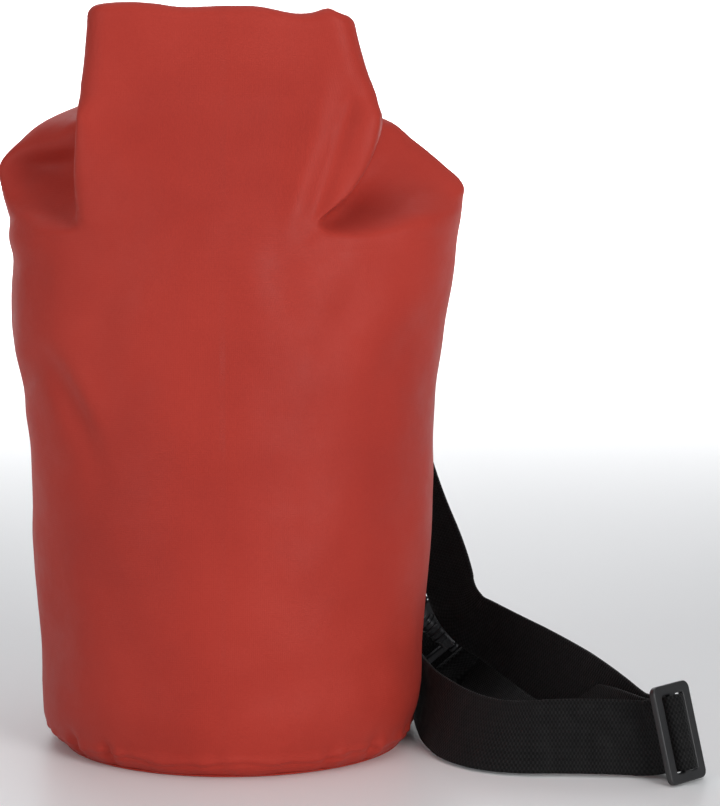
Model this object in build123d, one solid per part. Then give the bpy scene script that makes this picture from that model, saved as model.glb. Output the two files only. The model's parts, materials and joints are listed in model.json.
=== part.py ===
from build123d import *
import math
import os

# Roll-top dry bag, 10 litre class, closed and standing, with a clip-on shoulder strap.
# Millimetres, +Z up. Origin: centre of the base's underside. The plain front faces -Y.

# ---------------------------------------------------------------- driving dimensions
FABRIC = 1.0            # wall of the coated tube
BASE_RADIUS = 92.0
BASE_THICK = 1.2
FLANGE_TOP = 13.0       # height of the base panel's upturned rim inside the tube
SECTION_POINTS = 24

# Filled tube, level by level: height, half width (X), half depth (Y), Y shift, squareness
BODY_LEVELS = [
    (BASE_THICK, 92.0, 92.0, 0.0, 2.0),
    (14.0, 95.5, 94.5, 0.0, 2.0),
    (55.0, 98.0, 97.0, 0.0, 2.0),
    (95.0, 101.7, 97.0, 0.0, 2.0),
    (138.0, 104.3, 96.0, 0.0, 2.0),
    (181.0, 106.8, 94.0, 0.0, 2.0),
    (217.0, 112.0, 90.0, 0.0, 2.0),
    (255.0, 116.0, 86.0, 0.0, 2.0),
    (290.0, 119.5, 78.0, 0.0, 2.0),
    (316.0, 104.0, 62.0, -6.0, 2.3),
    (338.0, 80.0, 42.0, -16.0, 3.2),
]
TOP_Z = BODY_LEVELS[-1][0]

ROLL_TOP = 386.0
ROLL_BOTTOM = TOP_Z + 0.5
ROLL_THICK = 11.0
ROLL_BEND = 9.0
ROLL_PATH = [(-46, 34), (-70, -52), (66, -52), (46, 34)]
STIFFENER = 1.4
STIFFENER_WIDTH = 25.0

SEAM_ANGLE = 44.0       # where the side seam runs, from +X towards +Y
SEAM_WIDTH = 22.0
SEAM_THICK = 0.8
PATCH_THICK = 0.9
PATCH_SIZE = (56.0, 48.0)
SKIN_GAP = 0.02

BUCKLE_Y = 50.0
BUCKLE_Z = 364.0
BUCKLE_WEB = 25.0
BAR_X = 29.6            # the buckle's two webbing bars are this far from its middle

WIRE = 2.0              # radius of the D-ring wire
RING_HALF = 18.0
RING_LEG = 5.0          # straight side of the D between its bar and its bow
TAB_WIDTH = 26.0
TAB_LENGTH = 27.0
LOWER_BAR_Z = 83.0
UPPER_BAR_Z = 262.0

WEB_WIDTH = 38.0        # shoulder strap
WEB_THICK = 1.6
FLOOR_GAP = 1.2

GLIDE_CENTRE = Vector(227.0, -94.5, 24.7)
GLIDE_U = Vector(0.67, 0.74, 0.0).normalized()
GLIDE_N = Vector(0.713, -0.645, 0.269).normalized()


def unit(x, y, z):
    return Vector(x, y, z).normalized()


def place(shape, origin, x_dir, z_dir):
    """Move a shape drawn in its own axes to a frame given by two of its directions."""
    return Plane(origin=origin, x_dir=x_dir, z_dir=z_dir).location * shape


def block(x0, x1, y0, y1, z0, z1):
    middle = Pos((x0 + x1) / 2, (y0 + y1) / 2, (z0 + z1) / 2)
    return middle * Box(x1 - x0, y1 - y0, z1 - z0)


PARTS = {}


# ---------------------------------------------------------------- filled tube and base
def level_face(level, grow, z):
    _, half_x, half_y, shift, square = level
    points = []
    for i in range(SECTION_POINTS):
        angle = 2 * math.pi * i / SECTION_POINTS
        c = math.cos(angle)
        s = math.sin(angle)
        x = math.copysign(abs(c) ** (2 / square), c) * (half_x + grow)
        y = math.copysign(abs(s) ** (2 / square), s) * (half_y + grow) + shift
        points.append((x, y, z))
    return make_face(Spline(*points, periodic=True))


def tube(grow, bottom=BASE_THICK, top=TOP_Z):
    heights = [bottom] + [level[0] for level in BODY_LEVELS[1:-1]] + [top]
    return loft([level_face(level, grow, z) for level, z in zip(BODY_LEVELS, heights)])


SEAM_COS = math.cos(math.radians(SEAM_ANGLE))
SEAM_SIN = math.sin(math.radians(SEAM_ANGLE))
UP = Vector(0, 0, 1)


def half_sizes(z):
    """Half width and half depth between the levels, on a cubic through the nearest four."""
    above = next(i for i, level in enumerate(BODY_LEVELS) if level[0] > z)
    near = BODY_LEVELS[above - 2:above + 2]
    sizes = [0.0, 0.0]
    for i, level in enumerate(near):
        share = math.prod(
            (z - other[0]) / (level[0] - other[0]) for j, other in enumerate(near) if j != i)
        sizes[0] += share * level[1]
        sizes[1] += share * level[2]
    return sizes


def seam_foot(z):
    """The point of the skin on the side seam at one height."""
    half_x, half_y = half_sizes(z)
    radius = 1 / math.hypot(SEAM_COS / half_x, SEAM_SIN / half_y)
    return Vector(radius * SEAM_COS, radius * SEAM_SIN, z)


def seam_out(z):
    """The skin's level outward direction at the side seam."""
    half_x, half_y = half_sizes(z)
    return unit(SEAM_COS / half_x ** 2, SEAM_SIN / half_y ** 2, 0)


def build_tube():
    outer = tube(0)
    inner = tube(-FABRIC, bottom=-1.0, top=TOP_Z - BASE_THICK)
    PARTS["body_tube"] = outer - inner
    PARTS["base_panel"] = block_disc(BASE_RADIUS - 0.1, 0, BASE_THICK)
    rim = tube(-FABRIC - 0.1) - tube(-2 * FABRIC, bottom=-1.0)
    PARTS["base_flange"] = rim & block(-120, 120, -120, 120, BASE_THICK, FLANGE_TOP)


def block_disc(radius, z0, z1):
    return Pos(0, 0, (z0 + z1) / 2) * Cylinder(radius, z1 - z0)


def seam_prism(width, height, middle_z, corner):
    """A prism that looks at the seam from outside and cuts patches out of skin layers."""
    prism = extrude(RectangleRounded(width, height, corner), 60)
    out = seam_out(middle_z)
    return place(prism, seam_foot(middle_z) - out * 35, out.cross(UP), out)


def build_seam():
    strip_top = 270.0
    strip_low = 16.0
    middle = (strip_top + strip_low) / 2
    first = tube(SEAM_THICK)
    prism = seam_prism(SEAM_WIDTH, strip_top - strip_low, middle, 2)
    PARTS["side_seam"] = (first - tube(SKIN_GAP)) & prism
    layer = tube(SEAM_THICK + PATCH_THICK) - tube(SEAM_THICK + SKIN_GAP)
    for name, bar_z in (("lower_patch", LOWER_BAR_Z), ("upper_patch", UPPER_BAR_Z)):
        PARTS[name] = layer & seam_prism(*PATCH_SIZE, bar_z + 14, 8)


# ---------------------------------------------------------------- rolled mouth
def roll_strip(thick, z0, z1):
    path = FilletPolyline(*ROLL_PATH, radius=ROLL_BEND)
    return Pos(0, 0, z0) * extrude(trace(path, line_width=thick), z1 - z0)


def build_roll():
    slab = roll_strip(ROLL_THICK, ROLL_BOTTOM, ROLL_TOP)
    rims = [e for e in slab.edges() if abs(e.center().Z - ROLL_TOP) < 0.01]
    rims += [e for e in slab.edges() if abs(e.center().Z - ROLL_BOTTOM) < 0.01]
    slab = fillet(rims, 3.5)
    z0 = BUCKLE_Z - STIFFENER_WIDTH / 2
    z1 = BUCKLE_Z + STIFFENER_WIDTH / 2
    PARTS["rolled_closure"] = slab - roll_strip(STIFFENER + 0.2, z0 - 0.2, z1 + 0.2)
    PARTS["mouth_stiffener"] = roll_strip(STIFFENER, z0, z1)


def buckle_tab(side):
    """Folded webbing from the end of the roll to a buckle bar, drawn from above."""
    tip = Vector(*(ROLL_PATH[0] if side < 0 else ROLL_PATH[-1]))
    corner = Vector(*(ROLL_PATH[1] if side < 0 else ROLL_PATH[-2]))
    along = (tip - corner).normalized()
    bar = (side * BAR_X, BUCKLE_Y)
    path = FilletPolyline(
        tip + along * 0.05, tip + along * 11, (side * 38, 49.6), (side * (BAR_X + 2.5), BUCKLE_Y),
        radius=2.5)
    outline = trace(path, line_width=2.6) + Pos(*bar) * Circle(3.9) - Pos(*bar) * Circle(2.6)
    return Pos(0, 0, BUCKLE_Z - BUCKLE_WEB / 2) * extrude(outline, BUCKLE_WEB)


# ---------------------------------------------------------------- side-release buckle
FEMALE_END = -31.0
MATING = 5.0
BODY_HALF_Z = 17.5
BODY_HALF_Y = 5.0
SOCKET_Z = 13.6
SOCKET_Y = 2.7
PRONG_ROOT = (9.5, 10.2)       # X and Z of each prong's bending point
PRONG_HALF = 1.5


def webbing_bar(body, outer_end, side):
    """Open the webbing slot and slim the bar at one end of a buckle half."""
    slot_in = side * (BAR_X - 6.1)
    slot_out = side * (BAR_X - 1.35)
    slot = block(min(slot_in, slot_out), max(slot_in, slot_out), -9, 9, -13, 13)
    body -= slot
    for top in (1, -1):
        x0 = min(slot_out, outer_end + side)
        x1 = max(slot_out, outer_end + side)
        body -= block(x0, x1, min(top * 2, top * 9), max(top * 2, top * 9), -13, 13)
    return body


def rounded_bar(x0, x1, half_y, half_z, radius):
    solid = block(x0, x1, -half_y, half_y, -half_z, half_z)
    return fillet(solid.edges().filter_by(Axis.X), radius)


def buckle_female():
    body = rounded_bar(FEMALE_END, MATING, BODY_HALF_Y, BODY_HALF_Z, 3)
    body -= block(-21, MATING + 1, -SOCKET_Y, SOCKET_Y, -SOCKET_Z, SOCKET_Z)
    for top in (1, -1):
        z0 = min(top * 13, top * 19)
        body -= block(-16, -4, -3.2, 3.2, z0, z0 + 6)
    body -= block(-19, -9, BODY_HALF_Y - 0.6, BODY_HALF_Y + 1, -7, 7)
    return webbing_bar(body, FEMALE_END, -1)


def buckle_male():
    body = rounded_bar(MATING + 0.3, -FEMALE_END, 4.5, 16, 2.5)
    body += block(-20.5, MATING + 0.4, -1.6, 1.6, -2.4, 2.4)
    for top in (1, -1):
        root_z = top * PRONG_ROOT[1]
        pocket = Pos(PRONG_ROOT[0], 0, root_z) * Rot(90, 0, 0) * Cylinder(2.5, 5)
        inner = root_z - top * 4.2
        outer = root_z + top * 2.2
        channel = block(MATING, PRONG_ROOT[0], -2.5, 2.5, min(inner, outer), max(inner, outer))
        body -= pocket + channel
    return webbing_bar(body, -FEMALE_END, 1)


def buckle_prong(top):
    """One sprung arm, drawn in the plane of the buckle; its root is round."""
    x, z = PRONG_ROOT
    arm = [(x, z - PRONG_HALF), (x, z + PRONG_HALF), (-4.5, z + PRONG_HALF), (-6, 15.6)]
    arm += [(-13.5, 15.2), (-17, z + 0.6), (-17, z - PRONG_HALF)]
    flat = make_face(Polyline(*[(px, top * pz) for px, pz in arm], close=True))
    flat += Pos(x, top * z) * Circle(2.4)
    solid = extrude(flat, 4.4)
    return Pos(0, 2.2, 0) * Rot(90, 0, 0) * solid


def build_buckle():
    home = Pos(0, BUCKLE_Y, BUCKLE_Z)
    PARTS["buckle_female"] = home * buckle_female()
    PARTS["buckle_male"] = home * buckle_male()
    PARTS["buckle_upper_prong"] = home * buckle_prong(1)
    PARTS["buckle_lower_prong"] = home * buckle_prong(-1)
    PARTS["left_buckle_tab"] = buckle_tab(-1)
    PARTS["right_buckle_tab"] = buckle_tab(1)


# ---------------------------------------------------------------- D-rings and their tabs
TAB_BACK = SEAM_THICK + PATCH_THICK + 1.0
BAR_OUT = TAB_BACK + 3.6


def ring_bar(bar_z):
    """Middle of a D-ring's bar, and the skin's outward direction where its tab is sewn."""
    side = seam_out(bar_z).cross(UP)
    rise = seam_foot(bar_z + TAB_LENGTH) - seam_foot(bar_z)
    climb = (rise - side * rise.dot(side)).normalized()
    out = climb.cross(side)
    return seam_foot(bar_z) + out * BAR_OUT, out, side


def ring_tab(bar_z):
    bar, out, side = ring_bar(bar_z)
    inner = -3.6
    stack = [(inner, 0), (inner, TAB_LENGTH), (inner + 2.8, TAB_LENGTH), (inner + 2.8, 9), (3.2, 1.6)]
    outline = make_face(Polyline(*stack, close=True)) + Circle(3.6) - Circle(WIRE + 0.2)
    solid = Pos(0, 0, -TAB_WIDTH / 2) * extrude(outline, TAB_WIDTH)
    return place(solid, bar, out, side)


def d_ring():
    """X runs along the bar, Y points the way the ring is pulled."""
    bend = 3.5
    straight = RING_HALF - bend
    ring = Rot(0, 90, 0) * Cylinder(WIRE, 2 * straight)
    for side in (1, -1):
        corner = Pos(side * straight, bend, 0) * Torus(bend, WIRE)
        x0 = min(side * straight, side * (RING_HALF + 3))
        ring += corner & block(x0, x0 + bend + 3, -3, bend, -3, 3)
        leg = Pos(side * RING_HALF, (bend + RING_LEG) / 2, 0)
        ring += leg * Rot(90, 0, 0) * Cylinder(WIRE, RING_LEG - bend)
    bow = Pos(0, RING_LEG, 0) * Torus(RING_HALF, WIRE)
    return ring + (bow & block(-30, 30, RING_LEG, 40, -5, 5))


class Clip:
    """Where one D-ring, snap hook and strap eye are, and which way each of them points."""

    def __init__(self, bar_z, lean_out, turn, hang, eye_width):
        self.bar, out, self.side = ring_bar(bar_z)
        level_out = UP.cross(self.side)
        self.pull = (level_out * lean_out - UP).normalized()
        turn = math.radians(turn)
        radial = self.pull * math.cos(turn) + self.side * math.sin(turn)
        tangent = self.side * math.cos(turn) - self.pull * math.sin(turn)
        self.contact = self.bar + self.pull * RING_LEG + radial * RING_HALF
        down = (hang - tangent * hang.dot(tangent)).normalized()
        self.nose = down * -1
        self.hook_x = tangent.cross(self.nose)
        if self.hook_x.dot(level_out) < 0:
            self.hook_x = self.hook_x * -1
        self.origin = self.contact + down * WIRE_Z
        self.eye_x = (eye_width - down * eye_width.dot(down)).normalized()
        self.eye_y = self.nose.cross(self.eye_x)
        self.strap_bar = self.origin + down * -STRAP_BAR_Z

    def hook_frame(self, shape):
        return place(shape, self.origin, self.hook_x, self.nose)

    def eye_frame(self, shape):
        return place(shape, self.origin, self.eye_x, self.nose)

    def on_eye(self, y, z):
        """A point beside the eye's strap bar, in millimetres from the bar's middle."""
        return self.strap_bar + self.eye_y * y + self.nose * z


# ---------------------------------------------------------------- snap hooks
# Drawn standing on the swivel: Z runs up to the nose, X is the gate's side.
LOOP_LOW = 21.5
LOOP_HIGH = 34.0
LOOP_IN = 5.5
LOOP_OUT = 10.0
HOOK_HALF = 3.0
GATE_PIN = (7.9, 15.6)
GATE_TOP = 31.2
BARREL = 5.5
PIN_RADIUS = 2.5
STRAP_BAR_Z = -16.0
RING_PLAY = 0.8         # free space between the ring and the nose of the hook
WIRE_Z = LOOP_HIGH + LOOP_IN - WIRE - RING_PLAY


def stadium(half, low, high):
    return block(-half, half, -HOOK_HALF, HOOK_HALF, low, high) + sum_parts([
        Pos(0, 0, z) * Rot(90, 0, 0) * Cylinder(half, 2 * HOOK_HALF) for z in (low, high)])


def sum_parts(shapes):
    total = shapes[0]
    for shape in shapes[1:]:
        total += shape
    return total


def hook_body():
    hook = stadium(LOOP_OUT, LOOP_LOW, LOOP_HIGH)
    hook += Pos(0, 0, 6.4) * Cylinder(BARREL, 12.2)
    hook += Pos(0, 0, 12.5) * Cylinder(4.4, 4)
    for z in (2.4, 6.0, 9.6):
        hook += Pos(0, 0, z) * Torus(BARREL, 0.7)
    hook -= stadium(LOOP_IN, LOOP_LOW, LOOP_HIGH)
    hook -= block(LOOP_IN - 1.2, LOOP_OUT + 1, -4, 4, 19.4, GATE_TOP)
    slot = block(GATE_PIN[0] - 3.4, LOOP_OUT + 1, -1.4, 1.4, 11.6, 20)
    hook -= slot
    hook -= Pos(GATE_PIN[0], 0, GATE_PIN[1]) * Rot(90, 0, 0) * Cylinder(1.0, 8)
    hook -= Pos(0, 0, 4.3) * Cylinder(PIN_RADIUS + 0.05, 9)
    return hook


def hook_gate():
    gate = block(6.0, 10.0, -HOOK_HALF, HOOK_HALF, 20.4, GATE_TOP - 0.3)
    gate += block(6.3, 9.6, -1.2, 1.2, GATE_PIN[1], 20.8)
    gate += Pos(GATE_PIN[0], 0, GATE_PIN[1]) * Rot(90, 0, 0) * Cylinder(2.1, 2.4)
    return gate - Pos(GATE_PIN[0], 0, GATE_PIN[1]) * Rot(90, 0, 0) * Cylinder(1.05, 4)


def hook_gate_pin():
    return Pos(GATE_PIN[0], 0, GATE_PIN[1]) * Rot(90, 0, 0) * Cylinder(1.0, 2 * HOOK_HALF)


def hook_swivel_pin():
    shaft = Pos(0, 0, 0.6) * Cylinder(PIN_RADIUS, 16.4)
    return shaft + Pos(0, 0, -8.35) * Cylinder(3.8, 1.5)


def swivel_eye():
    """Frame for the strap: hub at the top, window, strap bar at the bottom."""
    frame = block(-25, 25, -2, 2, -18, -3.4)
    frame = fillet(frame.edges().filter_by(Axis.Y), 4)
    window = block(-20, 20, -4, 4, -14, -7.4)
    frame = frame - fillet(window.edges().filter_by(Axis.Y), 1.5)
    frame = fillet([e for e in frame.edges() if abs(abs(e.center().Y) - 2) < 0.01], 0.9)
    frame += Pos(0, 0, -2.8) * Cylinder(5.2, 5.6)
    frame -= Pos(0, 0, -3.8) * Cylinder(PIN_RADIUS + 0.1, 9)
    return frame


def build_clips():
    for name, clip in CLIPS.items():
        bar_z = LOWER_BAR_Z if name == "lower" else UPPER_BAR_Z
        PARTS[name + "_ring_tab"] = ring_tab(bar_z)
        PARTS[name + "_d_ring"] = place(
            d_ring(), clip.bar, clip.side, clip.side.cross(clip.pull))
        PARTS[name + "_hook"] = clip.hook_frame(hook_body())
        PARTS[name + "_gate"] = clip.hook_frame(hook_gate())
        PARTS[name + "_gate_pin"] = clip.hook_frame(hook_gate_pin())
        PARTS[name + "_swivel_pin"] = clip.hook_frame(hook_swivel_pin())
        PARTS[name + "_swivel_eye"] = clip.eye_frame(swivel_eye())


CLIPS = {
    "upper": Clip(UPPER_BAR_Z, 0.50, 0.0, Vector(0.08, 0.02, -1.0), Vector(0.76, -0.65, 0.0)),
    "lower": Clip(LOWER_BAR_Z, 0.42, 25.0, Vector(0.695, 0.186, -0.695), Vector(0.66, -0.33, 0.67)),
}


# ---------------------------------------------------------------- tri-glide adjuster
def tri_glide():
    """Drawn flat: X across the bars, Y along them."""
    frame = extrude(RectangleRounded(29, 50, 4), 1.75, both=True)
    for side in (1, -1):
        slot = extrude(RectangleRounded(6.3, 39.4, 1.2), 4, both=True)
        frame -= Pos(side * 5.35, 0, 0) * slot
    faces = [e for e in frame.edges() if abs(abs(e.center().Z) - 1.75) < 0.01]
    return fillet(faces, 0.9)


def on_glide(u, n):
    return GLIDE_CENTRE + GLIDE_U * u + GLIDE_N * n


GLIDE_V = GLIDE_N.cross(GLIDE_U)


# ---------------------------------------------------------------- shoulder strap
# Each station is a point on the webbing's centre line and the direction of its width.
def stand(x, y, width):
    """A station whose lower edge runs along the floor."""
    across = Vector(*width).normalized()
    return (Vector(x, y, floor_height(across)), across)


def floor_height(across):
    """The lowest that the webbing's centre line may lie with this direction of width."""
    return abs(across.Z) * WEB_WIDTH / 2 + WEB_THICK / 2 + FLOOR_GAP


def at(x, y, z, width):
    return (Vector(x, y, z), Vector(*width).normalized())


EYE_WRAP = [(-3.1, -1.5), (-3.2, 0.9), (-2.2, 2.7), (0, 3.15), (2.2, 2.7), (3.2, 0.9), (3.1, -1.5)]
SEWN_LEG = [(-0.95, -34), (-0.95, -10), (-1.7, -6)]
GLIDE_OVER = [(5.4, -8), (5.2, -2), (5.3, 0.5), (4.7, 3.0), (2.4, 5.0)]
GLIDE_SEWN = [(0.95, -16), (1.0, -8), (3.2, -2), (3.4, 0), (3.1, 2.0), (1.6, 3.2)]


def soften(run, rounds=2):
    """Cut the corners of a free run, twice, so that it bends smoothly."""
    for _ in range(rounds):
        cut = [run[0]]
        for (p, a), (q, b) in zip(run, run[1:]):
            cut.append((p * 0.75 + q * 0.25, a * 0.75 + b * 0.25))
            cut.append((p * 0.25 + q * 0.75, a * 0.25 + b * 0.75))
        run = cut + [run[-1]]
    lifted = []
    for point, across in run:
        lowest = floor_height(across.normalized())
        lifted.append((Vector(point.X, point.Y, max(point.Z, lowest)), across))
    return lifted


def strap_stations():
    upper = CLIPS["upper"]
    lower = CLIPS["lower"]
    start = [(upper.on_eye(y, z), upper.eye_x) for y, z in SEWN_LEG + EYE_WRAP]
    start += [(upper.on_eye(-y, z), upper.eye_x) for y, z in reversed(SEWN_LEG[1:])]

    over = GLIDE_OVER + [(-u, n) for u, n in reversed(GLIDE_OVER)]
    glide = [(on_glide(u, n), GLIDE_V) for u, n in over]
    fall = [
        start[-1],
        at(88.5, 80, 152, (0.69, -0.72, 0.08)),
        at(98, 78, 118, (0.68, -0.69, 0.24)),
        at(112.5, 69, 82, (0.71, -0.64, 0.30)),
        at(120, 57, 56, (0.58, -0.70, 0.42)),
        at(144, 36, 44.5, (0.46, -0.64, 0.62)),
        at(172, 0, 34.5, (0.55, -0.46, 0.70)),
        at(195, -38, 28.5, (0.34, -0.54, 0.77)),
        (on_glide(7.5, -22), (GLIDE_V + Vector(0.1, -0.2, 0)).normalized()),
        glide[0],
    ]
    front = [
        glide[-1],
        (on_glide(-6.2, -18), GLIDE_V),
        stand(176, -82, (0.0, 0.30, 0.95)),
        stand(140, -77, (0.04, 0.55, 0.83)),
        stand(117, -55, (0.25, 0.45, 0.86)),
        stand(104, -22, (0.20, 0.10, 0.97)),
        stand(99.5, 12, (0.12, 0.0, 0.99)),
        stand(97.0, 42, (0.05, 0.0, 1.0)),
        stand(91, 70, (0.0, 0.0, 1.0)),
        stand(88, 96, (0.0, 0.0, 1.0)),
        stand(100, 114, (0.0, 0.0, 1.0)),
        at(122, 114, 21.5, (0.15, -0.10, 0.98)),
        at(135, 99, 22.5, (0.45, -0.25, 0.85)),
        (lower.on_eye(4.4, -8), lower.eye_x),
    ]
    around = [(lower.on_eye(-y, z), lower.eye_x) for y, z in EYE_WRAP]
    sewn = GLIDE_SEWN + [(-u, n) for u, n in reversed(GLIDE_SEWN)]
    sewn = [(on_glide(u, n), GLIDE_V) for u, n in sewn]
    back = [
        (lower.on_eye(-3.4, -8), lower.eye_x),
        stand(140, 58, (0.66, 0.05, 0.70)),
        stand(150, 32, (0.62, 0.40, 0.62)),
        stand(166, 0, (0.45, 0.62, 0.60)),
        stand(190, -45, (0.08, 0.42, 0.86)),
        (on_glide(0.9, -24), GLIDE_V),
        sewn[0],
    ]
    return start[:-1] + soften(fall)[:-1] + glide[:-1] + soften(front) + around + soften(back)[:-1] + sewn


def strap_section(points, i, width):
    """The four corners of the webbing's section at one station."""
    point = points[i]
    along = (points[min(i + 1, len(points) - 1)] - points[max(i - 1, 0)]).normalized()
    across = (width - along * width.dot(along)).normalized()
    edge = across * (WEB_WIDTH / 2)
    thick = along.cross(across) * (WEB_THICK / 2)
    return [point + edge + thick, point - edge + thick, point - edge - thick, point + edge - thick]


def triangle(a, b, c):
    return Face(Wire.make_polygon([a, b, c], close=True))


def strap_solid(stations):
    """Webbing of constant section, skinned with triangles from station to station."""
    points = [station[0] for station in stations]
    rings = [strap_section(points, i, width) for i, (_, width) in enumerate(stations)]
    faces = []
    for ring in (rings[0], rings[-1]):
        faces += [triangle(ring[0], ring[1], ring[2]), triangle(ring[0], ring[2], ring[3])]
    for ring, after in zip(rings, rings[1:]):
        for k in range(4):
            j = (k + 1) % 4
            faces += [triangle(ring[k], ring[j], after[j]), triangle(ring[k], after[j], after[k])]
    solid = Solid(Shell(faces))
    return solid if solid.volume > 0 else -solid


def build_strap():
    PARTS["tri_glide"] = place(tri_glide(), GLIDE_CENTRE, GLIDE_U, GLIDE_N)
    stations = strap_stations()
    points = [station[0] for station in stations]
    length = sum((q - p).length for p, q in zip(points, points[1:]))
    strap = strap_solid(stations)
    share = strap.volume / (length * WEB_WIDTH * WEB_THICK)
    print("strap length", round(length), "volume share", round(share, 3))
    print("strap lowest point", round(strap.bounding_box().min.Z, 2))
    PARTS["shoulder_strap"] = strap


build_tube()
build_seam()
build_roll()
build_buckle()
build_clips()
build_strap()

os.makedirs("parts", exist_ok=True)
for node, solid in PARTS.items():
    export_step(solid, "parts/" + node + ".step")
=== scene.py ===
import json
import math
from collections import namedtuple

import bmesh
import bpy
import numpy as np
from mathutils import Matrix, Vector, noise
from mathutils.bvhtree import BVHTree


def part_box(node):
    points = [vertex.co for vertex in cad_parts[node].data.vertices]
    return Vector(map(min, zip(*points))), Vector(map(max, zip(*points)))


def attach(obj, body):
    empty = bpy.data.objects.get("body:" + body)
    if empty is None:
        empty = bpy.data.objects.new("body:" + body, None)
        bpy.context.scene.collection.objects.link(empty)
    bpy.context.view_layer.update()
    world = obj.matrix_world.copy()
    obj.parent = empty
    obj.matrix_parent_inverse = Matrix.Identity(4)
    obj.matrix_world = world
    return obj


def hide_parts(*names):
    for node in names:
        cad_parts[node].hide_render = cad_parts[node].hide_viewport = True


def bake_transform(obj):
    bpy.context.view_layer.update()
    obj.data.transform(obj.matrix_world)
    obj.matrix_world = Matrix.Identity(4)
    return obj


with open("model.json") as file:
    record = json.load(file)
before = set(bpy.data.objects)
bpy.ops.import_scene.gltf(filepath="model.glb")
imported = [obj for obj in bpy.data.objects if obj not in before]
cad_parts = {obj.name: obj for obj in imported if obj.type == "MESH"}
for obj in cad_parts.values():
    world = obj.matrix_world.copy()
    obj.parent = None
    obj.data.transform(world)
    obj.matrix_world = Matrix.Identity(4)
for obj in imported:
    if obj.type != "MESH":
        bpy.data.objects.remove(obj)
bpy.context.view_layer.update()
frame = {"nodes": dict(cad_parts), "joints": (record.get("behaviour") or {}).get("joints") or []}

# Roll-top dry bag. Shapes are worked out in millimetres, in the frame's own axes, and turned
# into metres when a mesh is made. The plain front faces -Y.
MM = 0.001


# -------- curves and meshes
def smooth_through(knots, values, wanted):
    """Cubic through values (n, d) at increasing knots (n), read at the wanted places."""
    knots = np.asarray(knots, float)
    values = np.asarray(values, float)
    wanted = np.asarray(wanted, float)
    step = np.diff(knots)
    slope = np.diff(values, axis=0) / step[:, None]
    tangent = np.empty_like(values)
    tangent[0] = slope[0]
    tangent[-1] = slope[-1]
    share = (step[:-1] / (step[:-1] + step[1:]))[:, None]
    tangent[1:-1] = slope[:-1] * (1 - share) + slope[1:] * share
    i = np.clip(np.searchsorted(knots, wanted, side="right") - 1, 0, len(step) - 1)
    h = step[i][:, None]
    t = ((wanted - knots[i]) / step[i])[:, None]
    start = (1 + 2 * t) * (1 - t) ** 2 * values[i] + t * (1 - t) ** 2 * h * tangent[i]
    end = t * t * (3 - 2 * t) * values[i + 1] + t * t * (t - 1) * h * tangent[i + 1]
    return start + end


def read_table(table, wanted):
    """The same through a table whose first column holds the knots."""
    table = np.array(table, float)
    return smooth_through(table[:, 0], table[:, 1:], wanted)


def distances(points):
    """Length along a row of points, starting at 0."""
    steps = np.linalg.norm(np.diff(points, axis=0), axis=1)
    return np.concatenate([[0.0], np.cumsum(steps)])


def unit(vectors):
    vectors = np.asarray(vectors, float)
    return vectors / np.linalg.norm(vectors, axis=-1, keepdims=True)


def soft_step(value, low, high):
    t = np.clip((np.asarray(value, float) - low) / (high - low), 0, 1)
    return t * t * (3 - 2 * t)


def grid_faces(rows, columns, closed):
    """Quads between neighbouring rows of vertices, each row closed round or open."""
    faces = []
    for r in range(rows - 1):
        for c in range(columns if closed else columns - 1):
            d = (c + 1) % columns
            this, above = r * columns, (r + 1) * columns
            faces.append((this + c, this + d, above + d, above + c))
    return faces


def make_mesh(name, points, faces, material, uv=None, smooth=True):
    """A piece from points in millimetres; uv gives each vertex's place on the flat cloth, in metres."""
    mesh = bpy.data.meshes.new(name)
    mesh.from_pydata((np.asarray(points) * MM).tolist(), [], faces)
    mesh.validate()
    if uv is not None:
        layer = mesh.uv_layers.new(name="cloth")
        corner = np.empty(len(mesh.loops), int)
        mesh.loops.foreach_get("vertex_index", corner)
        layer.data.foreach_set("uv", np.asarray(uv, np.float32)[corner].ravel())
    whole = bmesh.new()
    whole.from_mesh(mesh)
    bmesh.ops.recalc_face_normals(whole, faces=whole.faces)
    whole.to_mesh(mesh)
    whole.free()
    mesh.materials.append(material)
    mesh.polygons.foreach_set("use_smooth", [smooth] * len(mesh.polygons))
    piece = bpy.data.objects.new(name, mesh)
    bpy.context.scene.collection.objects.link(piece)
    return piece


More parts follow.
